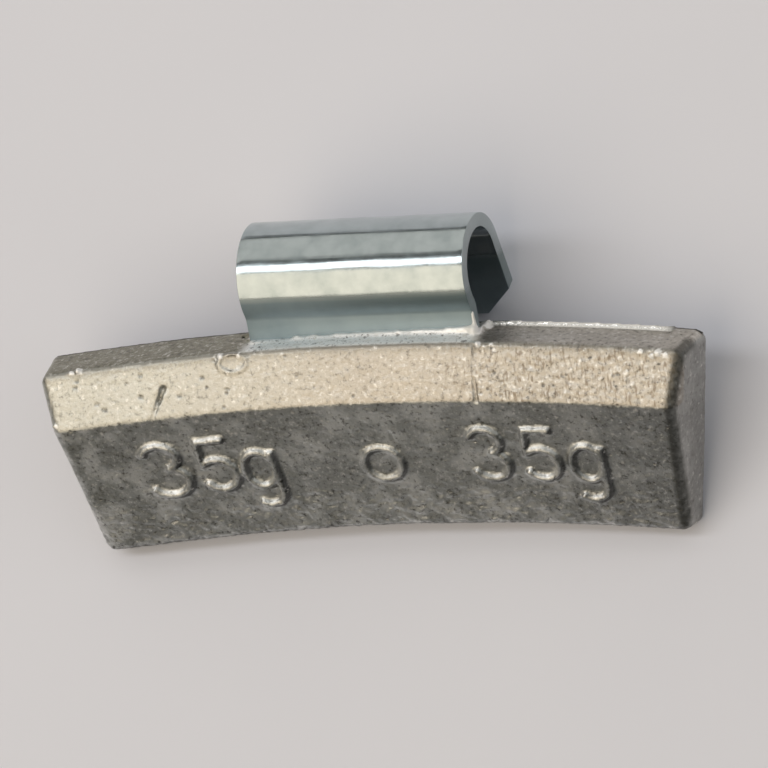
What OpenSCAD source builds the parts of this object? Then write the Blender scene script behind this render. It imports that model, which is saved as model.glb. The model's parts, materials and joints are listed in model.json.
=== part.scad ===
// Clip-on wheel balance weight: a die-cast zinc alloy bar, curved to follow the wheel's rim,
// with a bent spring steel clip whose root is cast into it.
// The shape is worked out upright: X along the bar, Y to the rim, Z towards the wheel's edge,
// with zero at the middle of the bar's top back edge. at_rest() then lays it on its back.

/* [Casting] */
// Length of the bar along its top back edge
body_len = 60.8; // [48:0.1:70]
// Height of the back face at the middle of the bar
body_h = 17.95; // [15:0.05:21]
// Radius of the top back edge about the wheel's axis
rim_r = 251; // [190:1:320]
// Thickness of the bar at its top face
top_depth = 4.5; // [4:0.05:5.2]
// Thickness at the lower edge of the bevel, where the bar is thickest
max_depth = 6.15; // [5.6:0.05:7.5]
// Thickness at the bottom edge
bottom_depth = 2.35; // [1.8:0.05:3.5]
// Height of the bevel, from the top back edge down to the thickest line
bevel_drop = 4.8; // [3:0.05:6.5]
// Fall of the top face from its back edge to the bevel
top_fall = 0.15; // [0:0.05:0.5]
// Rise of the bottom face from its back edge to the front
bottom_rise = 0.25; // [0:0.05:0.8]

/* [Casting ends] */
// Angle at which each end leans in, from the top down
end_slant = 11.2; // [0:0.2:16]
// Angle at which each end leans in, from the back to the front
end_draft = 7.4; // [0:0.2:10]
// Edge radius round the front of each end
end_r = 1.1; // [0.4:0.05:1.2]

/* [Casting edges] */
// Edge radius along the bevel's two long edges
bevel_r = 0.5; // [0.2:0.05:1]
// Edge radius along the bottom front edge
bottom_r = 0.7; // [0.3:0.05:0.9]
// Edge radius round the back face
back_r = 0.25; // [0.15:0.05:0.4]

/* [Clip] */
// Width of the steel strip
clip_w = 20.6; // [14:0.1:28]
// Thickness of the strip
strip_t = 1.2; // [0.9:0.05:1.4]
// Inner radius of the hook that grips the rim's flange
hook_r = 3.4; // [3:0.05:4.2]
// Distance of the hook's axis behind the back face
hook_back = 1.5; // [0.8:0.1:2.2]
// Height of the hook's axis above the top back edge
hook_rise = 4.1; // [3.8:0.05:5.5]
// Inner radius of the reverse bend between the hook and the neck
neck_r = 1; // [0.8:0.05:1.4]
// Metal in front of the neck at the top of the bar
neck_cover = 2; // [1.4:0.05:2.2]
// Angle at which the free end flares away from the bar
flare = 17.5; // [8:0.5:22]
// Straight length of the free end
tail_len = 7.9; // [5:0.1:10]
// Length cut off each corner of the free end
corner_cut = 2.6; // [1:0.1:4]

/* [Clip root] */
// Depth of the root in the casting
root_depth = 8; // [6:0.1:10]
// Diameter of the holes in the root, which the casting fills
lock_d = 3.6; // [2:0.1:5]
// Distance between the middles of the two holes
lock_pitch = 9.6; // [6:0.1:9.8]
// Depth of the holes' middles below the top of the bar
lock_drop = 4.4; // [3.2:0.1:4.8]

/* [Hidden] */
zinc = "#7f7b76";
plated_steel = "#a9a79b";
// Room by which a cutter passes what it cuts
over = 2;
// Straight steps that make one rounded edge of the bar's section
arc_steps = 5;
// An edge cutter's radius over that of its edge, so that it meets the faces at a slight angle
edge_ease = 1 / 0.99;
// Height of the strip's inner side over the grip before the grip is cut
grip_ease = 0.02;
// Turn of one straight step in the strip's bends
bend_step = 5;
curve_fn = 96;
rim_fn = 360;

slope = tan(end_slant);
draft = tan(end_draft);

// Corners of the bar's section, from the top back edge round the front: height, depth, radius
section = [
    [0, 0, back_r],
    [-top_fall, top_depth, bevel_r],
    [-bevel_drop, max_depth, bevel_r],
    [-(body_h - bottom_rise), bottom_depth, bottom_r],
    [-body_h, 0, back_r]
];
corners = len(section);
half_sweep = asin((body_len / 2 + over) / (rim_r - body_h));

// The strip's middle line, as depth behind the back face and height above the top back edge
hook_mid_r = hook_r + strip_t / 2;
neck_mid_r = neck_r + strip_t / 2;
neck_y = neck_cover - top_depth + strip_t / 2;
hook_mid = [hook_back, hook_rise];
neck_angle = acos((hook_back - neck_y + neck_mid_r) / (hook_mid_r + neck_mid_r));
neck_mid = hook_mid - (hook_mid_r + neck_mid_r) * [cos(neck_angle), sin(neck_angle)];
tail_out = [cos(flare), sin(flare)];
tail_up = [-sin(flare), cos(flare)];
tail_end = hook_mid + hook_mid_r * tail_out - tail_len * tail_up;

// A vector of length one, and the part of a section corner that is a place
function unit(v) = v / norm(v);
function place(i) = [section[i % corners].x, section[i % corners].y];

// Middle of the arc that rounds corner c of an outline, between its neighbours p and q
function arc_middle(p, c, q, r) =
    let (a = unit(p - c), b = unit(q - c))
    c + unit(a + b) * r / sin(acos(a * b) / 2);

// Points of that arc, from the side of p to the side of q
function arc(p, c, q, r) =
    let (
        a = unit(p - c), b = unit(q - c),
        half = acos(a * b) / 2,
        m = arc_middle(p, c, q, r),
        t = c + a * r / tan(half) - m,
        from = atan2(t.y, t.x),
        turn = sign(cross(b, a)) * (180 - 2 * half)
    )
    [for (i = [0:arc_steps]) m + r * [cos(from + turn * i / arc_steps), sin(from + turn * i / arc_steps)]];

// Where the line of the bar at height h and depth d meets the plane of its right end
function end_point(h, d) =
    let (
        f = body_len / 2 - draft * d - slope * rim_r,
        z = (sqrt(pow(rim_r + h, 2) * (1 + slope * slope) - f * f) - slope * f) / (1 + slope * slope)
    )
    [f + slope * z, -d, z - rim_r];

// Points of a bend in the strip's profile, from one angle to another
function bend(m, r, from, to) =
    let (n = ceil(abs(to - from) / bend_step))
    [for (i = [0:n]) let (a = from + (to - from) * i / n) m + r * [cos(a), sin(a)]];

// Outward direction of the face between corners i and i + 1 of the section, at the point p
function face_out(i, p) =
    let (
        along = place(i + 1) - place(i),
        out = unit([along.y, -along.x]),
        round = unit([p.x, p.z + rim_r])
    )
    [out.x * round.x, -out.y, out.x * round.y];

end_out = unit([1, -draft, -slope]);

// Lying on its back, the weight rests on the bar's two bottom back corners and the clip's free edge
tail_foot = tail_end + strip_t / 2 * tail_out;
body_foot = end_point(back_r - body_h, back_r);
foot_line = tail_foot - [body_foot.y, body_foot.z];
lean = atan2(foot_line.x, foot_line.y) - asin(back_r / norm(foot_line));
lie = lean - 90;
bottom_mid = arc_middle(place(2), place(3), place(4), bottom_r);
bottom_end = end_point(bottom_mid.x, bottom_mid.y);
rest_far = hook_mid.x * cos(lie) - hook_mid.y * sin(lie) + hook_mid_r + strip_t / 2;
rest_near = bottom_end.y * cos(lie) - bottom_end.z * sin(lie) - bottom_r;
rest_low = tail_foot.x * sin(lie) + tail_foot.y * cos(lie);

// Children with their Z along z_way and their Y as near to y_way as it can be, at the point o
module framed(o, z_way, y_way) {
    z = unit(z_way);
    x = unit(cross(y_way, z));
    y = cross(z, x);
    multmatrix([
        [x.x, y.x, z.x, o.x],
        [x.y, y.y, z.y, o.y],
        [x.z, y.z, z.z, o.z],
        [0, 0, 0, 1]
    ]) children();
}

module at_rest() {
    translate([0, -(rest_far + rest_near) / 2, -rest_low]) rotate([lie, 0, 0]) children();
}

// Cutter that rounds the edge from p to q between two faces with the outward directions a and b
module edge_cutter(p, q, a, b, r) {
    half = acos(a * b) / 2;
    deep = r / cos(half);
    reach = deep + over;
    framed(p, q - p, a + b)
        translate([0, -deep, -over]) linear_extrude(norm(q - p) + 2 * over) difference() {
            polygon([
                [0, 0],
                reach * [sin(half), cos(half)],
                [0, reach / cos(half)],
                reach * [-sin(half), cos(half)]
            ]);
            circle(r * edge_ease, $fn = curve_fn);
        }
}

// What the right end loses: all beyond its plane, and its edges
module end_cutter() {
    wide = body_h + rim_r - sqrt(pow(rim_r, 2) - pow(body_len / 2, 2)) + over;
    framed([body_len / 2, 0, 0], end_out, [0, 1, 0])
        translate([-over, -max_depth - over, 0])
            cube([wide + 2 * over, max_depth + 2 * over, wide]);
    for (i = [0:corners - 1]) {
        p = end_point(place(i).x, place(i).y);
        q = end_point(place(i + 1).x, place(i + 1).y);
        edge_cutter(p, q, end_out, face_out(i, (p + q) / 2), i == corners - 1 ? back_r : end_r);
    }
}

// The whole bar, a section turned about the wheel's axis
module bar() {
    difference() {
        translate([0, 0, -rim_r]) rotate([90, 0, 0])
            rotate_extrude(angle = 2 * half_sweep, start = 90 - half_sweep, $fn = rim_fn)
                polygon([
                    for (i = [0:corners - 1])
                        each [
                            for (p = arc(place(i + corners - 1), place(i), place(i + 1), section[i].z))
                                [rim_r + p.x, p.y]
                        ]
                ]);
        for (side = [0, 1]) mirror([side, 0, 0]) end_cutter();
    }
}

// The strip seen from its side: root at the bottom left, free end at the right. The grip is a true
// cylinder, cut into an inner side that stands a little proud of it.
module strip_profile() {
    inner = hook_r - grip_ease;
    outer = hook_r + strip_t;
    difference() {
        polygon([
            [neck_y - strip_t / 2, -root_depth],
            each bend(neck_mid, neck_r, 0, neck_angle),
            each bend(hook_mid, outer, 180 + neck_angle, flare),
            hook_mid + outer * tail_out - tail_len * tail_up,
            hook_mid + inner * tail_out - tail_len * tail_up,
            each bend(hook_mid, inner, flare, 180 + neck_angle),
            each bend(neck_mid, neck_r + strip_t + grip_ease, neck_angle, 0),
            [neck_y + strip_t / 2 + grip_ease, -root_depth]
        ]);
        translate(hook_mid) circle(hook_r, $fn = curve_fn);
    }
}

// The steel of the clip, with its free corners cut off and its lock holes
module clip_steel() {
    difference() {
        rotate([90, 0, 90]) linear_extrude(clip_w, center = true) strip_profile();
        for (side = [0, 1]) mirror([side, 0, 0])
            framed([0, tail_end.x, tail_end.y], [0, tail_out.x, tail_out.y], [0, tail_up.x, tail_up.y])
                linear_extrude(strip_t + over, center = true)
                    polygon([
                        [clip_w / 2 - corner_cut - over, -over],
                        [clip_w / 2 + over, -over],
                        [clip_w / 2 + over, corner_cut + over]
                    ]);
        for (side = [-1, 1])
            translate([side * lock_pitch / 2, neck_y, -lock_drop]) rotate([90, 0, 0])
                cylinder(h = strip_t + over, d = lock_d, center = true, $fn = curve_fn);
    }
}

module cast_body() {
    color(zinc) at_rest() difference() {
        bar();
        clip_steel();
    }
}

module spring_clip() {
    color(plated_steel) at_rest() clip_steel();
}

cast_body();
spring_clip();
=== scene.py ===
import json
import math
import bpy
from mathutils import Matrix, Vector
from mathutils.kdtree import KDTree


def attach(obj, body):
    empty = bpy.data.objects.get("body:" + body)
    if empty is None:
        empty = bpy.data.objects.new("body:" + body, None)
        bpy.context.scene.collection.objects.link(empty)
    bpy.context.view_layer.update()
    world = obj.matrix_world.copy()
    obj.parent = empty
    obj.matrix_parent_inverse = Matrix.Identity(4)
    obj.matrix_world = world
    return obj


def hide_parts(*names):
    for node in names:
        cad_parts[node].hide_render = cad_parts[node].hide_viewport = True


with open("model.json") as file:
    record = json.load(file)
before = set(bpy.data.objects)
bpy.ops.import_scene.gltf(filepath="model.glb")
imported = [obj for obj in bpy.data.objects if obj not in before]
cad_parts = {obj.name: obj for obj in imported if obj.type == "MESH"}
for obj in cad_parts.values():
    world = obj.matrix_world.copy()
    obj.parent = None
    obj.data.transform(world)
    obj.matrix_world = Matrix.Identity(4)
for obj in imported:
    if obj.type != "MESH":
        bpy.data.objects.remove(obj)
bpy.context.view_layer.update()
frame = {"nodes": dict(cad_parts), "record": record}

# The cast bar. It is die-cast zinc alloy: molten metal is pressed into a steel die round the clip's root,
# so the skin is rough and pitted, and thin flash stands where the metal crept out along the clip and
# the die's parting line. Its mass in grams is raised on the front.
MM = 0.001
RIM_R = 251
CLIP_W = 20.6
STRIP_T = 1.2
NECK_Y = -1.9
ROOT_DEPTH = 8
HOOK_BACK = 1.5
HOOK_RISE = 4.1

# Corners of the bar's section, as height and depth
TOP = Vector((-0.15, 4.5))
BEVEL_FOOT = Vector((-4.8, 6.15))
BOTTOM = Vector((-17.7, 2.35))

# It is shaped upright and in millimetres, as the casting's drawing has it: X along the bar, Y to the rim,
# Z up to the clip, and zero at the middle of the bar's top back edge. The weight's two mounts, the
# hook's axis and the bar's flat back, give the turn and the place where it then lies.
mounts = {mount["name"]: mount for mount in frame["record"]["mounts"]}
grip = Vector(mounts["rim_grip"]["pos_m"])
seat = Vector(mounts["rim_seat"]["axis"])
lie = math.atan2(seat.z, seat.y)
lying = (
    Matrix.Translation(grip)
    @ Matrix.Rotation(lie, 4, "X")
    @ Matrix.Scale(MM, 4)
    @ Matrix.Translation((0, -HOOK_BACK, -HOOK_RISE))
)


def only(piece):
    """Selects this piece alone and makes it the active one."""
    bpy.ops.object.select_all(action="DESELECT")
    piece.select_set(True)
    bpy.context.view_layer.objects.active = piece


def settle(piece, place):
    """Puts the piece at a place and takes that place into its mesh."""
    only(piece)
    piece.matrix_world = place
    bpy.ops.object.transform_apply(location=True, rotation=True, scale=True)


bar = bpy.data.objects.new("cast_bar", frame["nodes"]["cast_body"].data.copy())
bpy.context.scene.collection.objects.link(bar)
bar.data.materials.clear()
settle(bar, lying.inverted())
bpy.ops.object.mode_set(mode="EDIT")
bpy.ops.mesh.select_all(action="SELECT")
bpy.ops.mesh.remove_doubles(threshold=0.001)
bpy.ops.object.mode_set(mode="OBJECT")
castings = [bar]


def finish_with(piece, kind, **settings):
    """Adds a modifier with its settings and applies it."""
    only(piece)
    modifier = piece.modifiers.new(kind.lower(), kind)
    for name, value in settings.items():
        setattr(modifier, name, value)
    bpy.ops.object.modifier_apply(modifier=modifier.name)


def on_bar(along, height, depth):
    """The place at this length along the bar, height and depth, with Z away from the wheel's axis."""
    swing = Matrix.Rotation(along / (RIM_R + height), 4, "Y")
    return Matrix.Translation((0, 0, -RIM_R)) @ swing @ Matrix.Translation((0, -depth, RIM_R + height))


def run_along(name, section, start, end):
    """A solid of this section, as pairs of Y and height, run along the top of the bar."""
    bpy.ops.mesh.primitive_plane_add(size=1)
    solid = bpy.context.object
    solid.name = name
    solid.data.clear_geometry()
    corners = [on_bar(start, height, -y).translation for y, height in section]
    solid.data.from_pydata(corners, [], [range(len(corners))])
    only(solid)
    bpy.ops.object.mode_set(mode="EDIT")
    bpy.ops.mesh.select_all(action="SELECT")
    bpy.ops.mesh.spin(steps=60, angle=(start - end) / RIM_R, center=(0, 0, -RIM_R), axis=(0, 1, 0))
    bpy.ops.mesh.select_all(action="SELECT")
    bpy.ops.mesh.normals_make_consistent(inside=False)
    bpy.ops.object.mode_set(mode="OBJECT")
    return solid


# Right of the clip the top face dips in front of a fin of flash, which has a steep front.
FIN_FROM, FIN_TO = 10.4, 27.3
FIN_FOOT = (-0.4, -0.34)
FIN_CREST = (-0.1, 0.15)
DIP_FRONT = (-3.6, -0.1)
CLEAR_OF_TOP = 1
dip_section = [
    FIN_FOOT,
    FIN_CREST,
    (FIN_CREST[0], CLEAR_OF_TOP),
    (DIP_FRONT[0], CLEAR_OF_TOP),
    DIP_FRONT,
]
dip = run_along("top_dip", dip_section, FIN_FROM, FIN_TO)
finish_with(bar, "BOOLEAN", operation="DIFFERENCE", object=dip)
bpy.data.objects.remove(dip)
fin_section = [FIN_FOOT, FIN_CREST, (0, FIN_CREST[1] - 0.1), (-0.05, -0.6)]
castings.append(run_along("edge_fin", fin_section, FIN_FROM, FIN_TO))

# The slot round the clip's root can't be seen, so a block of metal closes it under the top face.
PLUG_ROOM = 0.8
PLUG_TOP = -0.1
plug_depth = ROOT_DEPTH + 0.5
bpy.ops.mesh.primitive_cube_add(size=1, location=(0, NECK_Y, PLUG_TOP - plug_depth / 2))
plug = bpy.context.object
plug.scale = (CLIP_W + PLUG_ROOM, STRIP_T + PLUG_ROOM, plug_depth)
castings.append(plug)


def on_slope(upper, lower, along, height):
    """The place on the slope between two corners of the bar's section, with Z out of the metal."""
    slope = lower - upper
    depth = upper.y + slope.y * (height - upper.x) / slope.x
    face = Matrix.Rotation(math.radians(90) - math.atan2(slope.y, -slope.x), 4, "X")
    return on_bar(along, height, depth) @ face


def on_bevel(along, height):
    return on_slope(TOP, BEVEL_FOOT, along, height)


def on_front(along, height):
    return on_slope(BEVEL_FOOT, BOTTOM, along, height)


def sweep(x, y, rx, ry, start, end):
    """Points of an oval stroke round (x, y), from one angle to another in degrees."""
    steps = max(2, round(abs(end - start) / 15))
    turns = [math.radians(start + (end - start) * i / steps) for i in range(steps + 1)]
    return [(x + rx * math.cos(turn), y + ry * math.sin(turn)) for turn in turns]


# The figures are plain round-nosed strokes, as a ball cutter leaves them in the die. Each figure is a
# list of strokes, and each row of FIGURES is a figure, its place along the bar, its height and its width.
STROKE_R = 0.32
STROKE_LIFT = 0.1
FIGURE_TALL = 1.03
THREE = [sweep(1.6, 4.3, 1.4, 1.25, 165, -75) + sweep(1.65, 1.75, 1.65, 1.4, 78, -160)]
FIVE = [
    [(3.15, 5.5), (2.0, 5.5), (0.75, 5.5), (0.62, 4.4), (0.5, 3.0)]
    + sweep(1.75, 1.95, 1.55, 1.55, 128, -155),
]
GRAM = [
    sweep(1.7, 2.25, 1.42, 1.8, 0, 360),
    [(3.12, 4.0), (3.12, 2.4), (3.12, 0.3)] + sweep(1.72, -0.3, 1.4, 1.2, 0, -140),
]
FIGURES = [
    (THREE, -21.1, -13.0, 1.15),
    (FIVE, -16.3, -13.0, 1.05),
    (GRAM, -12.4, -13.1, 1),
    (THREE, 8.5, -13.15, 1),
    (FIVE, 13.0, -13.15, 1),
    (GRAM, 17.1, -13.25, 1),
]
for figure, along, height, wide in FIGURES:
    strokes = bpy.data.curves.new("figure", "CURVE")
    strokes.dimensions = "3D"
    strokes.bevel_depth = STROKE_R
    strokes.bevel_resolution = 3
    strokes.use_fill_caps = True
    for stroke in figure:
        line = strokes.splines.new("POLY")
        line.points.add(len(stroke) - 1)
        for point, (x, y) in zip(line.points, stroke):
            point.co = (x, y, STROKE_LIFT, 1)
    raised = bpy.data.objects.new("figure", strokes)
    bpy.context.scene.collection.objects.link(raised)
    only(raised)
    bpy.ops.object.convert(target="MESH")
    raised = bpy.context.object
    raised.matrix_world = on_front(along, height) @ Matrix.Diagonal((wide, FIGURE_TALL, 1, 1))
    castings.append(raised)

# A plain ring stands between the two figures of mass.
RING_ALONG, RING_HEIGHT = 0.5, -11.1
RING_R = 1.7
bpy.ops.mesh.primitive_torus_add(
    major_radius=RING_R, minor_radius=STROKE_R, major_segments=48, minor_segments=12
)
ring = bpy.context.object
ring.matrix_world = on_front(RING_ALONG, RING_HEIGHT)
castings.append(ring)


def roughen(piece, size, strength, depth=2, group=""):
    """Moves the surface in and out by lumps about this many millimetres across."""
    lumps = bpy.data.textures.new(f"{piece.name}_lumps", "CLOUDS")
    lumps.noise_scale = size
    lumps.noise_depth = depth
    finish_with(
        piece, "DISPLACE", texture=lumps, strength=strength, texture_coords="LOCAL", vertex_group=group
    )


# Flash. A ragged bead lies along the clip's front, and grows from under half its size to the full one
# at the right.
BEAD_FROM, BEAD_TO = -6.3, 10.2
BEAD_R = 0.34
THIN_END = 0.45
STRIP_FRONT = NECK_Y - STRIP_T / 2
bpy.ops.mesh.primitive_cylinder_add(
    vertices=12,
    radius=BEAD_R,
    depth=BEAD_TO - BEAD_FROM,
    location=((BEAD_FROM + BEAD_TO) / 2, STRIP_FRONT - 0.05, 0.02),
    rotation=(0, math.radians(90), 0),
)
bead = bpy.context.object
bead.name = "root_bead"
settle(bead, bead.matrix_world)
bpy.ops.object.mode_set(mode="EDIT")
bpy.ops.mesh.select_all(action="SELECT")
bpy.ops.mesh.subdivide(number_cuts=40)
bpy.ops.mesh.select_all(action="DESELECT")
bpy.ops.object.mode_set(mode="OBJECT")
for vertex in bead.data.vertices:
    share = (vertex.co.x - BEAD_FROM) / (BEAD_TO - BEAD_FROM)
    middle = Vector((vertex.co.x, STRIP_FRONT, 0))
    vertex.co = middle + (vertex.co - middle) * (THIN_END + (1 - THIN_END) * share)
roughen(bead, 0.9, 0.35)
castings.append(bead)

# A sliver climbs the clip's right edge out of a blob of metal.
bpy.ops.mesh.primitive_cone_add(
    vertices=12, radius1=0.26, radius2=0.1, depth=2, location=(10.34, STRIP_FRONT, 0.75)
)
castings.append(bpy.context.object)
bpy.ops.mesh.primitive_ico_sphere_add(subdivisions=3, radius=0.5, location=(10.2, STRIP_FRONT - 0.15, 0))
castings.append(bpy.context.object)

# The fin turns forward and down where it meets the clip.
bpy.ops.mesh.primitive_cylinder_add(
    vertices=12,
    radius=0.17,
    depth=1.3,
    location=(10.65, -0.8, -0.34),
    rotation=(math.radians(100), 0, math.radians(13)),
)
castings.append(bpy.context.object)

# Beads of metal that stuck to the die: place along the bar, height, depth and radius.
BURRS = [
    (-25.7, -0.2, 4.45, 0.3),
    (-26.4, -0.25, 4.45, 0.2),
    (-28.2, -4.3, 5.9, 0.18),
    (-12.4, -0.35, 4.5, 0.25),
    (-10.7, -0.4, 4.5, 0.2),
    (11.1, -0.3, 4.55, 0.28),
    (12.3, -0.35, 4.5, 0.18),
    (27.2, -0.5, 4.55, 0.3),
    (26.6, -0.8, 4.65, 0.22),
    (27.8, -0.65, 4.6, 0.22),
    (25.6, -0.5, 4.55, 0.2),
]
for along, height, depth, radius in BURRS:
    bpy.ops.mesh.primitive_ico_sphere_add(subdivisions=2, radius=radius)
    burr = bpy.context.object
    burr.matrix_world = on_bar(along, height, depth)
    castings.append(burr)

# A faint flat ring, the print of a pin of the die, lies on the bevel.
PRINT_ALONG, PRINT_HEIGHT = -11.3, -1.0
bpy.ops.mesh.primitive_torus_add(major_radius=1.3, minor_radius=0.19, major_segments=32, minor_segments=8)
pin_print = bpy.context.object
pin_print.matrix_world = on_bevel(PRINT_ALONG, PRINT_HEIGHT) @ Matrix.Diagonal((1, 0.62, 0.7, 1))
castings.append(pin_print)

# All of it is one casting, so it gets one skin.
SKIN_VOXEL = 0.16
bpy.ops.object.select_all(action="DESELECT")
for casting in castings:
    casting.select_set(True)
bpy.context.view_layer.objects.active = bar
bpy.ops.object.join()
finish_with(bar, "REMESH", mode="VOXEL", voxel_size=SKIN_VOXEL, use_smooth_shade=True)
finish_with(bar, "SMOOTH", factor=0.5, iterations=1)


def height_of(place):
    """Height over the bar's top back edge, which is an arc about the wheel's axis."""
    return math.hypot(place.x, place.z + RIM_R) - RIM_R


# The left end leans in less than the right one: it stands out more and more towards its foot.
LEFT_FROM, LEFT_TO = -22.0, -28.0
LEFT_OUT = 0.2
LEFT_SPREAD = 0.0038
for vertex in bar.data.vertices:
    share = max(0, min(1, (LEFT_FROM - vertex.co.x) / (LEFT_FROM - LEFT_TO)))
    eased = share * share * (3 - 2 * share)
    drop = max(0, -height_of(vertex.co))
    vertex.co.x -= eased * (LEFT_OUT + LEFT_SPREAD * drop * drop)

UNDER_BEVEL = -4.9


def bevel_grain(place):
    """How coarse the bevel is here: three times as coarse on the right."""
    coarse = 0.3 + max(0, min(0.7, (place.x - 7) / 10))
    return coarse * (place.y < -4.5 and height_of(place) > UNDER_BEVEL)


def front_grain(place):
    """How coarse the front is here: three times as coarse along its foot."""
    coarse = max(0.3, (-12 - height_of(place)) / 3)
    return coarse * (place.y < -1.5 and height_of(place) < UNDER_BEVEL)


for name, weigh in (("bevel", bevel_grain), ("front", front_grain)):
    group = bar.vertex_groups.new(name=name)
    for vertex in bar.data.vertices:
        weight = weigh(vertex.co)
        if weight > 0:
            group.add([vertex.index], min(1, weight), "REPLACE")
roughen(bar, 7, 0.1, depth=1)
roughen(bar, 0.6, 0.06, depth=3)
roughen(bar, 0.4, 0.13, depth=1, group="bevel")
roughen(bar, 0.5, 0.14, depth=1, group="front")


def press(piece, marks):
    """Presses each mark into the surface: a line that thins to its end, its radius, its depth and its way."""
    vertices = piece.data.vertices
    tree = KDTree(len(vertices))
    for vertex in vertices:
        tree.insert(vertex.co, vertex.index)
    tree.balance()
    for start, end, radius, depth, way in marks:
        run = end - start
        for place, index, _ in tree.find_range((start + end) / 2, run.length / 2 + radius):
            share = max(0, min(1, (place - start).dot(run) / max(run.length_squared, 1e-9)))
            away = (place - start - run * share).length / (radius * (1 - 0.5 * share))
            if away < 1:
                vertices[index].co += way * depth * (1 - 0.5 * share) * (1 - away * away) ** 2


def way_out(place):
    """The direction out of the metal at a place on one of its slopes."""
    return place.to_3x3() @ Vector((0, 0, 1))


# What is missing from the skin: a scratch of two parts, the die's witness line in two parts, and a faint
# scratch on the front. Then small pits on the bevel, and two holes by the clip's left side.
PIT_R, PIT_DEPTH = 0.2, 0.24
HOLE_R, HOLE_DEPTH = 0.4, 0.5
bevel_in = -way_out(on_bevel(0, -2))
front_in = -way_out(on_front(0, -10))
marks = [
    (on_bevel(-17.9, -2.4).translation, on_bevel(-18.5, -3.6).translation, 0.34, 0.32, bevel_in),
    (on_bevel(-18.3, -3.2).translation, on_bevel(-19.1, -4.9).translation, 0.24, 0.2, bevel_in),
    (on_bevel(10.8, -0.4).translation, on_bevel(10.65, -2.6).translation, 0.2, 0.2, bevel_in),
    (on_bevel(10.7, -4.9).translation, on_bevel(10.7, -2.9).translation, 0.22, 0.25, bevel_in),
    (on_front(2.0, -7.9).translation, on_front(2.2, -10.2).translation, 0.22, 0.12, front_in),
]
for along, height in [
    (-26.0, -0.95), (-26.15, -1.45), (-24.2, -3.0), (-23.45, -3.55), (-19.95, -1.15),
    (-20.0, -2.9), (-16.4, -3.15), (-14.2, -1.9), (-11.9, -3.0), (12.3, -0.5),
]:
    pit = on_bevel(along, height).translation
    marks.append((pit, pit, PIT_R, PIT_DEPTH, bevel_in))
for along, depth in [(-11.3, 1.1), (-10.5, 2.6)]:
    pit = on_bar(along, 0, depth).translation
    marks.append((pit, pit, HOLE_R, HOLE_DEPTH, Vector((0, 0, -1))))
press(bar, marks)
SKIN_KEPT = 0.62
finish_with(bar, "DECIMATE", ratio=SKIN_KEPT)

# Torn metal is paler than the skin, and these points also get a painted highlight for the light that the
# beads catch, so they are kept in an attribute.
SLIVER = (10.4, 0.8, 2.5, 0.9)
FIN_TURN = (10.65, -0.1, 0.8, 0.6)
TORN_HIGHLIGHT_REACH = 1.15
torn_highlight_points = bar.data.attributes.new("torn_highlight", "FLOAT", "POINT")
for along, height, depth, radius in BURRS + [SLIVER, FIN_TURN]:
    middle = on_bar(along, height, depth).translation
    for vertex in bar.data.vertices:
        if (vertex.co - middle).length < radius * TORN_HIGHLIGHT_REACH:
            torn_highlight_points.data[vertex.index].value = 1
only(bar)
bpy.ops.object.shade_smooth()
settle(bar, lying)


def srgb(code):
    """A colour as written for the screen, turned to the linear one that a shader takes."""
    channels = [int(code[i : i + 2], 16) / 255 for i in (1, 3, 5)]
    return [c / 12.92 if c <= 0.04045 else ((c + 0.055) / 1.055) ** 2.4 for c in channels] + [1]


def add_node(material, kind, *values, inputs=(), output="", **settings):
    """Adds a node with its settings. Its inputs are given values or other nodes' outputs, in their order
    or by name. It gives back the output named, or else the first one."""
    node = material.node_tree.nodes.new(kind)
    for name, value in settings.items():
        setattr(node, name, value)
    in_order = [socket for socket in node.inputs if socket.enabled]
    by_name = [(node.inputs[name], value) for name, value in dict(inputs).items()]
    for socket, value in [*zip(in_order, values), *by_name]:
        if isinstance(value, bpy.types.NodeSocket):
            material.node_tree.links.new(value, socket)
        else:
            socket.default_value = value
    if output:
        return node.outputs[output]
    return next((socket for socket in node.outputs if socket.enabled), None)


def new_material(name):
    """An empty node material, and the object's own coordinates turned upright, in millimetres."""
    material = bpy.data.materials.new(name)
    material.use_nodes = True
    material.node_tree.nodes.clear()
    upright = lying.inverted()
    place = add_node(material, "ShaderNodeTexCoord", output="Object")
    per_mm = (1 / MM, 1 / MM, 1 / MM)
    return material, add_node(material, "ShaderNodeMapping", place, upright.translation, (-lie, 0, 0), per_mm)


def mask(material, strength, *limits):
    """A mask of this strength. Each limit is a value, where the mask starts, and where it is full."""
    for value, start, full in limits:
        share = add_node(material, "ShaderNodeMapRange", value, start, full)
        strength = add_node(material, "ShaderNodeMath", strength, share, operation="MULTIPLY")
    return strength


def cover(material, colour, layers):
    """Lays each layer, a mask and its colour, over those before it."""
    for share, tone in layers:
        colour = add_node(material, "ShaderNodeMix", share, colour, tone, data_type="RGBA")
    return colour


# As-cast zinc alloy, a bare metal. Its grainy skin scatters the light softly, with pits about a millimetre
# apart that are darkened with painted shade, and pale specks that are painted glints. Soot and stain dull it
# in patches, and the bevel is rubbed clean. Painted shade darkens the hollows, the lower sides of the
# figures, the right end's rounded edge and the back edge, and painted highlights brighten the upper sides of
# the figures, the flash, the beads, the torn points, which are also paler metal, and the top face by the
# clip. A place on it is told by its height over the bar's top back edge, its X and its Y.
zinc, upright_mm = new_material("zinc_alloy_as_cast")
from_axis = add_node(zinc, "ShaderNodeVectorMath", upright_mm, (0, 0, RIM_R), operation="ADD")
spoke = add_node(zinc, "ShaderNodeVectorMath", from_axis, (1, 0, 1), operation="MULTIPLY")
at_radius = add_node(zinc, "ShaderNodeVectorMath", spoke, operation="LENGTH")
at_height = add_node(zinc, "ShaderNodeMath", at_radius, RIM_R, operation="SUBTRACT")
at_x = add_node(zinc, "ShaderNodeSeparateXYZ", upright_mm, output="X")
at_y = add_node(zinc, "ShaderNodeSeparateXYZ", upright_mm, output="Y")

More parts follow.
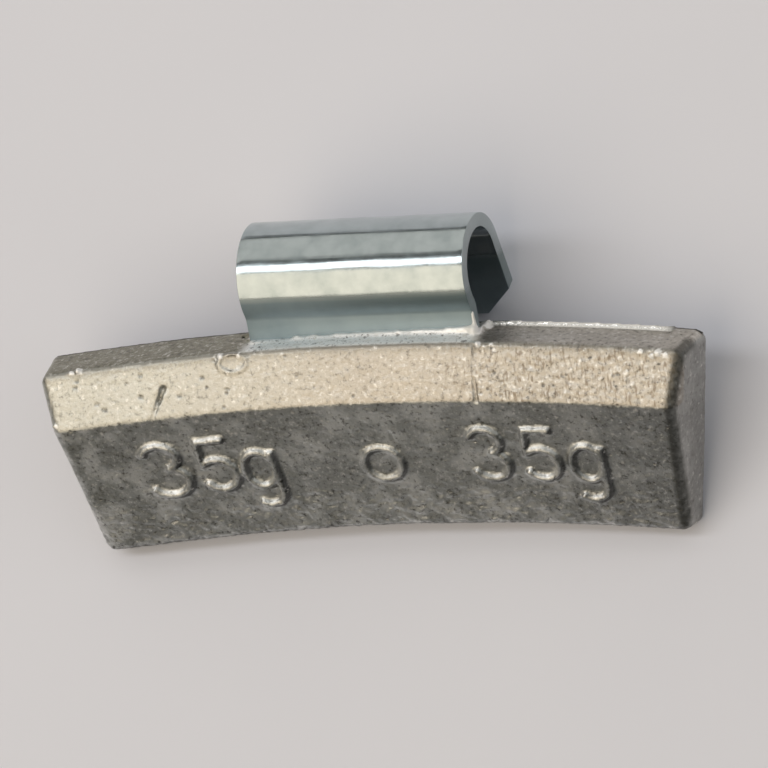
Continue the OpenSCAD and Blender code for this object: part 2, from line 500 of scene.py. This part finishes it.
# How near a point lies to the slanted plane of the right end, where this value is END_AT
END_AT = 30.4
END_SLANT = math.radians(11.2)
END_DRAFT = math.radians(7.4)
END_WAY = (1, -math.tan(END_DRAFT), -math.tan(END_SLANT))
to_end = add_node(zinc, "ShaderNodeVectorMath", upright_mm, END_WAY, operation="DOT_PRODUCT")

# Noises at the size of what they stand for: stain 7 mm, clusters of pits 2.5 mm, flecks of the rough skin
# 0.45 mm, its grain 0.32 mm, and the short upright streaks that rubbing leaves on the bevel.
stain = add_node(zinc, "ShaderNodeTexNoise", upright_mm, 1 / 7, 3)
clusters = add_node(zinc, "ShaderNodeTexNoise", upright_mm, 1 / 2.5, 2)
flecks = add_node(zinc, "ShaderNodeTexNoise", upright_mm, 1 / 0.45, 3, 0.7)
grain = add_node(zinc, "ShaderNodeTexNoise", upright_mm, 1 / 0.32, 4, 0.65)
upright_lines = (1 / 0.3, 1, 1 / 0.85)
drawn_out = add_node(zinc, "ShaderNodeVectorMath", upright_mm, upright_lines, operation="MULTIPLY")
streaks = add_node(zinc, "ShaderNodeTexNoise", drawn_out, 1, 3)
# Pits about a millimetre apart, in clusters. The dark colour given to them below is painted shade in the
# holes.
pit_cells = add_node(zinc, "ShaderNodeTexVoronoi", upright_mm, 1 / 1.1)
pits = mask(zinc, 1, (pit_cells, 0.2, 0.06), (clusters, 0.45, 0.6))
# Pale specks, painted glints where the rough skin would catch the light.
glint_cells = add_node(zinc, "ShaderNodeTexVoronoi", upright_mm, 1 / 0.8)
painted_glints = mask(zinc, 0.7, (glint_cells, 0.34, 0.14), (grain, 0.48, 0.6))

# Where the skin differs: the bevel and its ragged upper edge, the front, the top face with its film, the back
# edge, which gets painted shade, and the rounded edge of the right end, which gets painted shade too.
on_bevel_side = mask(zinc, 1, (at_height, -4.95, -4.7), (at_y, -4.3, -4.5))
ragged_by = add_node(zinc, "ShaderNodeMapRange", flecks, 0.3, 0.7, -0.5, 0.5)
ragged_height = add_node(zinc, "ShaderNodeMath", at_height, ragged_by, operation="ADD")
on_front_side = mask(zinc, 1, (at_height, UNDER_BEVEL, -5.3), (to_end, END_AT - 0.4, END_AT - 0.9))
on_top = mask(zinc, 1, (at_height, -0.6, -0.3), (at_y, -4.5, -4.2))
back_edge_shade = mask(zinc, 1, (at_height, -0.6, -0.3), (at_y, -0.5, -0.35))
rounded_end = mask(zinc, 0.75, (to_end, END_AT - 1.2, END_AT - 0.8), (to_end, END_AT, END_AT - 0.2))
end_edge_shade = mask(zinc, rounded_end, (at_y, -1.6, -2.4))

# Painted highlights, near white: the beads that stand over the top face, the fin's face, the strip of the top
# face that the clip lights from behind, and the torn points, which get it over their paler metal.
beads = mask(zinc, 1, (at_height, 0.05, 0.14), (at_y, -4.3, -4.0))
fin_ends = mask(zinc, 1, (at_x, FIN_FROM - 0.4, FIN_FROM), (at_x, FIN_TO + 0.3, FIN_TO - 1))
fin_face = mask(zinc, fin_ends, (at_height, -0.36, -0.28), (at_y, -0.56, -0.46))
flash = add_node(zinc, "ShaderNodeMath", beads, fin_face, operation="MAXIMUM")
painted_light_by_clip = mask(zinc, 1, (at_x, -11, -10), (at_x, 11, 10), (at_y, -2.3, -2.5), (at_height, -0.5, -0.2))
torn_highlight = add_node(zinc, "ShaderNodeAttribute", attribute_name="torn_highlight", output="Fac")

# The flecks are calmer on the bevel, left of its rough right part.
calm_bevel = mask(zinc, on_bevel_side, (at_x, 14, 4))
fleck_share = add_node(zinc, "ShaderNodeMapRange", calm_bevel, 0, 1, 0.85, 0.55)

# Painted shade darkens the hollows and the sides of the figures that face down and to the right, and a
# painted highlight brightens the sides that face up and to the left.
pointiness_for_shade = add_node(zinc, "ShaderNodeNewGeometry", output="Pointiness")
facing = add_node(zinc, "ShaderNodeNewGeometry", output="Normal")
painted_shade_way = Matrix.Rotation(lie, 3, "X") @ Vector((0.7, 0, -0.7))
painted_light_side = add_node(zinc, "ShaderNodeVectorMath", facing, painted_shade_way, operation="DOT_PRODUCT")

base = cover(zinc, srgb("#c6c8c6"), [(mask(zinc, 1, (stain, 0.35, 0.65)), srgb("#aeb0af"))])
cleaner = cover(zinc, srgb("#c0bfb7"), [(mask(zinc, 1, (at_x, -20, 0)), srgb("#b8b2a8"))])
colour = cover(
    zinc,
    base,
    [
        (mask(zinc, 0.6, (at_x, -20, -28), (clusters, 0.4, 0.6), (at_height, -4.6, -5)), srgb("#74756a")),
        (mask(zinc, 0.45, (clusters, 0.42, 0.58)), srgb("#8b8c87")),
        (mask(zinc, 0.45, (clusters, 0.5, 0.36)), srgb("#e6e6e2")),
        (mask(zinc, 0.45, (at_x, 12, 24)), srgb("#8a8b8b")),
        (mask(zinc, 0.8, (at_x, 0, -10), (on_top, 0, 1)), srgb("#827e69")),
        (mask(zinc, 0.6, (at_x, 4, 12), (on_top, 0, 1)), srgb("#c8c0b4")),
        # Painted light on the strip of the top face by the clip.
        (painted_light_by_clip, srgb("#fafbfb")),
        (on_bevel_side, cleaner),
        (mask(zinc, fleck_share, (flecks, 0.46, 0.3)), srgb("#5b5955")),
        (mask(zinc, fleck_share, (flecks, 0.56, 0.7)), srgb("#dddcd9")),
        (mask(zinc, 0.7, (streaks, 0.47, 0.33), (on_bevel_side, 0, 1), (at_x, 4, 14)), srgb("#7d7060")),
        (mask(zinc, 0.6, (on_bevel_side, 0, 1), (ragged_height, -0.9, -0.4)), srgb("#8a867d")),
        # Pits darkened with painted shade.
        (mask(zinc, 0.6, (pits, 0, 1)), srgb("#45423c")),
        # Painted shade in the hollows, then painted shade on the figures' lower right sides and a painted
        # highlight on their upper left sides.
        (mask(zinc, 0.85, (pointiness_for_shade, 0.475, 0.41)), srgb("#262521")),
        (mask(zinc, 0.8, (painted_light_side, 0.3, 0.62), (on_front_side, 0, 1)), srgb("#1e1d1b")),
        (mask(zinc, 0.45, (painted_light_side, -0.15, -0.5), (on_front_side, 0, 1)), srgb("#f4f4f2")),
        (mask(zinc, 0.5, (to_end, END_AT - 0.3, END_AT - 0.1)), srgb("#8d8a86")),
        # Painted glints.
        (painted_glints, srgb("#e9e7e2")),
        # Painted highlight on the torn points, over their paler metal.
        (torn_highlight, srgb("#fbfaf8")),
        # Painted shade on the rounded edge of the right end.
        (end_edge_shade, srgb("#4c4c47")),
        # Painted shade along the back edge.
        (back_edge_shade, srgb("#25241f")),
        # Painted highlight on the flash.
        (flash, srgb("#f4f3f0")),
    ],
)
rough = add_node(zinc, "ShaderNodeMapRange", stain, 0.3, 0.7, 0.32, 0.4)
for bright, factor in ((flash, 0.7), (torn_highlight, 1.6), (painted_light_by_clip, 1.8)):
    share = add_node(zinc, "ShaderNodeMapRange", bright, 0, 1, 1, factor)
    rough = add_node(zinc, "ShaderNodeMath", rough, share, operation="MULTIPLY")
dented = add_node(zinc, "ShaderNodeMath", pits, -0.6, operation="MULTIPLY")
skin = add_node(zinc, "ShaderNodeMath", grain, dented, operation="ADD")
relief = add_node(zinc, "ShaderNodeBump", inputs={"Height": skin, "Strength": 1, "Distance": 0.06 * MM})
metal = add_node(
    zinc,
    "ShaderNodeBsdfPrincipled",
    inputs={"Base Color": colour, "Metallic": 1, "Roughness": rough, "Normal": relief},
)
add_node(zinc, "ShaderNodeOutputMaterial", inputs={"Surface": metal})
bar.data.materials.append(zinc)
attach(bar, "root")
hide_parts("cast_body")

# The spring clip. It is one strip of spring steel, blanked, bent in a press to a neck, a hook and a
# flared free end with clipped corners, and then zinc plated. Its root is cast into the bar.
HOOK_R = 3.4
NECK_R = 1
FLARE = math.radians(17.5)
TAIL_LEN = 7.9
TAIL_STEPS = 6
CORNER_CUT = 2.6
LOCK_D = 3.6
LOCK_PITCH = 9.6
LOCK_DROP = 4.4
hook_mid = Vector((0, HOOK_BACK, HOOK_RISE))
hook_mid_r = HOOK_R + STRIP_T / 2
neck_mid_r = NECK_R + STRIP_T / 2
neck_angle = math.acos((HOOK_BACK - NECK_Y + neck_mid_r) / (hook_mid_r + neck_mid_r))
neck_mid = hook_mid - (hook_mid_r + neck_mid_r) * Vector((0, math.cos(neck_angle), math.sin(neck_angle)))
tail_out = Vector((0, math.cos(FLARE), math.sin(FLARE)))
tail_down = Vector((0, math.sin(FLARE), -math.cos(FLARE)))
tail_end = hook_mid + hook_mid_r * tail_out + TAIL_LEN * tail_down

# The strip's section is run up from the root, round the neck and the hook, and down the free end.
bpy.ops.mesh.primitive_grid_add(
    x_subdivisions=40, y_subdivisions=1, size=1, location=(0, NECK_Y, -ROOT_DEPTH)
)
clip = bpy.context.object
clip.name = "clip_strip"
clip.scale = (CLIP_W, STRIP_T, 1)
bpy.ops.object.transform_apply(location=True, rotation=True, scale=True)
bpy.ops.object.mode_set(mode="EDIT")
bpy.ops.mesh.select_mode(type="FACE")
bpy.ops.mesh.extrude_region_move(TRANSFORM_OT_translate={"value": (0, 0, ROOT_DEPTH + neck_mid.z)})
bpy.ops.mesh.spin(steps=12, angle=-neck_angle, center=neck_mid, axis=(1, 0, 0))
bpy.ops.mesh.spin(steps=72, angle=math.pi + neck_angle - FLARE, center=hook_mid, axis=(1, 0, 0))
for _ in range(TAIL_STEPS):
    bpy.ops.mesh.extrude_region_move(TRANSFORM_OT_translate={"value": tail_down * TAIL_LEN / TAIL_STEPS})
bpy.ops.mesh.select_all(action="SELECT")
bpy.ops.mesh.normals_make_consistent(inside=False)

# The free end's corners are cut off, the edges are eased, and the root's two lock holes are punched.
for side in (-1, 1):
    bpy.ops.mesh.select_all(action="DESELECT")
    bpy.ops.object.mode_set(mode="OBJECT")
    for face in clip.data.polygons:
        face.select = (face.center - tail_end).dot(tail_down) > -TAIL_LEN + 0.1
    bpy.ops.object.mode_set(mode="EDIT")
    bpy.ops.mesh.bisect(
        plane_co=tail_end + Vector((side * (CLIP_W / 2 - CORNER_CUT), 0, 0)),
        plane_no=Vector((side, 0, 0)) + tail_down,
        clear_outer=True,
        use_fill=True,
    )
bpy.ops.object.mode_set(mode="OBJECT")
finish_with(clip, "BEVEL", width=0.13, segments=3, limit_method="ANGLE", angle_limit=math.radians(40))
for side in (-1, 1):
    bpy.ops.mesh.primitive_cylinder_add(
        vertices=32,
        radius=LOCK_D / 2,
        depth=STRIP_T + 1,
        location=(side * LOCK_PITCH / 2, NECK_Y, -LOCK_DROP),
        rotation=(math.radians(90), 0, 0),
    )
    punch = bpy.context.object
    finish_with(clip, "BOOLEAN", operation="DIFFERENCE", object=punch)
    bpy.data.objects.remove(punch)
roughen(clip, 5, 0.035, depth=1)
settle(clip, lying)
only(clip)
bpy.ops.object.shade_smooth_by_angle(angle=math.radians(35))

# Zinc-plated steel is a thin bright coat over rolled strip: a near mirror, faintly blue-green, with a slight
# waviness and dull spots. Towards the root the hot metal has dulled the coat, most at the left, and the
# coat's colour there is a darker blue-green, darkest low down and to the right. The sheared edges are greyer
# than the faces.
steel, upright_mm = new_material("zinc_plated_spring_steel")
across = add_node(steel, "ShaderNodeSeparateXYZ", upright_mm, output="X")
up = add_node(steel, "ShaderNodeSeparateXYZ", upright_mm, output="Z")
dull = add_node(steel, "ShaderNodeTexNoise", upright_mm, 1 / 1.6, 4)
rolling = (1 / 14, 1 / 0.5, 1 / 0.5)
rolled = add_node(steel, "ShaderNodeVectorMath", upright_mm, rolling, operation="MULTIPLY")
lines = add_node(steel, "ShaderNodeTexNoise", rolled, 1, 2)
scorched = mask(steel, 1, (up, 4.0, 3.3))
deep = mask(steel, 1, (up, 0.8, 2.8), (across, -6, 7))
film = cover(steel, srgb("#93a4ac"), [(deep, srgb("#75878c"))])
facing = add_node(steel, "ShaderNodeNewGeometry", output="Normal")
facing_x = add_node(steel, "ShaderNodeSeparateXYZ", facing, output="X")
sideways = add_node(steel, "ShaderNodeMath", facing_x, operation="ABSOLUTE")
plating = cover(
    steel,
    srgb("#bfc9cc"),
    [
        (mask(steel, 1, (dull, 0.35, 0.7)), srgb("#afbabd")),
        (mask(steel, 0.85, (scorched, 0, 1)), film),
        (mask(steel, 0.6, (sideways, 0.6, 0.95)), srgb("#949c9a")),
    ],
)
plated_rough = add_node(steel, "ShaderNodeMapRange", dull, 0.3, 0.7, 0.13, 0.2)
scorch_rough = add_node(steel, "ShaderNodeMapRange", across, 0, -8, 0.32, 0.5)
scorch_rough = add_node(steel, "ShaderNodeMath", scorched, scorch_rough, operation="MULTIPLY")
rough = add_node(steel, "ShaderNodeMath", plated_rough, scorch_rough, operation="ADD")
wave = add_node(steel, "ShaderNodeBump", inputs={"Height": lines, "Strength": 1, "Distance": 0.01 * MM})
spots = add_node(
    steel, "ShaderNodeBump", inputs={"Height": dull, "Strength": 1, "Distance": 0.012 * MM, "Normal": wave}
)
coat = add_node(
    steel,
    "ShaderNodeBsdfPrincipled",
    inputs={"Base Color": plating, "Metallic": 1, "Roughness": rough, "Normal": spots},
)
add_node(steel, "ShaderNodeOutputMaterial", inputs={"Surface": coat})
clip.data.materials.append(steel)
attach(clip, "root")
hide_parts("spring_clip")

# The table: pale matt paper, large enough for every view. Its slight blue meets the warm light.
bpy.ops.mesh.primitive_plane_add(size=3, location=(0, 0, 0))
table = bpy.context.object
table.name = "table"
paper, upright_mm = new_material("pale_paper")
mottle = add_node(paper, "ShaderNodeTexNoise", upright_mm, 1 / 30, 3)
tone = cover(paper, srgb("#e6e7ef"), [(mottle, srgb("#e2e3ec"))])
sheet = add_node(paper, "ShaderNodeBsdfPrincipled", inputs={"Base Color": tone, "Roughness": 0.7})
add_node(paper, "ShaderNodeOutputMaterial", inputs={"Surface": sheet})
table.data.materials.append(paper)


# Soft light of a room: a white window overhead, which the hook mirrors as a thin line, a large warm
# ceiling towards the front, and pale walls behind and to the right.
def softbox(name, direction, width, height, watts, colour):
    """A rectangular light one metre away that faces the weight, its width along X."""
    away = Vector(direction).normalized()
    bpy.ops.object.light_add(type="AREA", location=away)
    lamp = bpy.context.object
    lamp.name = name
    lamp.data.shape = "RECTANGLE"
    lamp.data.size = width
    lamp.data.size_y = height
    lamp.data.energy = watts
    lamp.data.color = srgb(colour)[:3]
    side = Vector((1, 0, 0)) - away * away.x
    side.normalize()
    up_way = away.cross(side)
    lamp.matrix_world = Matrix.Translation(away) @ Matrix((side, up_way, away)).transposed().to_4x4()


def around(degrees):
    """Direction that the clip mirrors at this angle round X, from the back over the top."""
    turn = math.radians(degrees)
    return (-0.377, 0.926 * math.cos(turn), 0.926 * math.sin(turn))


softbox("window", around(77.5), 1.0, 0.19, 2.2, "#ffffff")
softbox("ceiling", around(115), 1.3, 0.95, 5.4, "#fff0da")
softbox("back_wall", around(33), 1.6, 0.9, 3, "#fbf6ee")
softbox("right_wall", (0.7, 0.25, 0.66), 1.5, 1.1, 3.4, "#f8f6f2")
world = bpy.data.worlds.new("room")
bpy.context.scene.world = world
world.use_nodes = True
world.node_tree.nodes["Background"].inputs["Color"].default_value = srgb("#50524f")
world.node_tree.nodes["Background"].inputs["Strength"].default_value = 0.8

# The camera looks down on the weight from its right, through a long lens.
VIEW_TILT = (2.934, 22.197, -1.061)
VIEW_FROM = 1.0336
VIEW_AIM = Vector((0.00074, -0.00055, 0.00768))
view = bpy.data.cameras.new("view")
view.lens = 571.9
view.sensor_width = 36
view.clip_end = 20
camera = bpy.data.objects.new("view", view)
bpy.context.scene.collection.objects.link(camera)
camera.rotation_euler = [math.radians(a) for a in VIEW_TILT]
camera.location = VIEW_AIM + camera.rotation_euler.to_matrix() @ Vector((0, 0, VIEW_FROM))
bpy.context.scene.camera = camera
bpy.context.scene.view_settings.view_transform = "Standard"
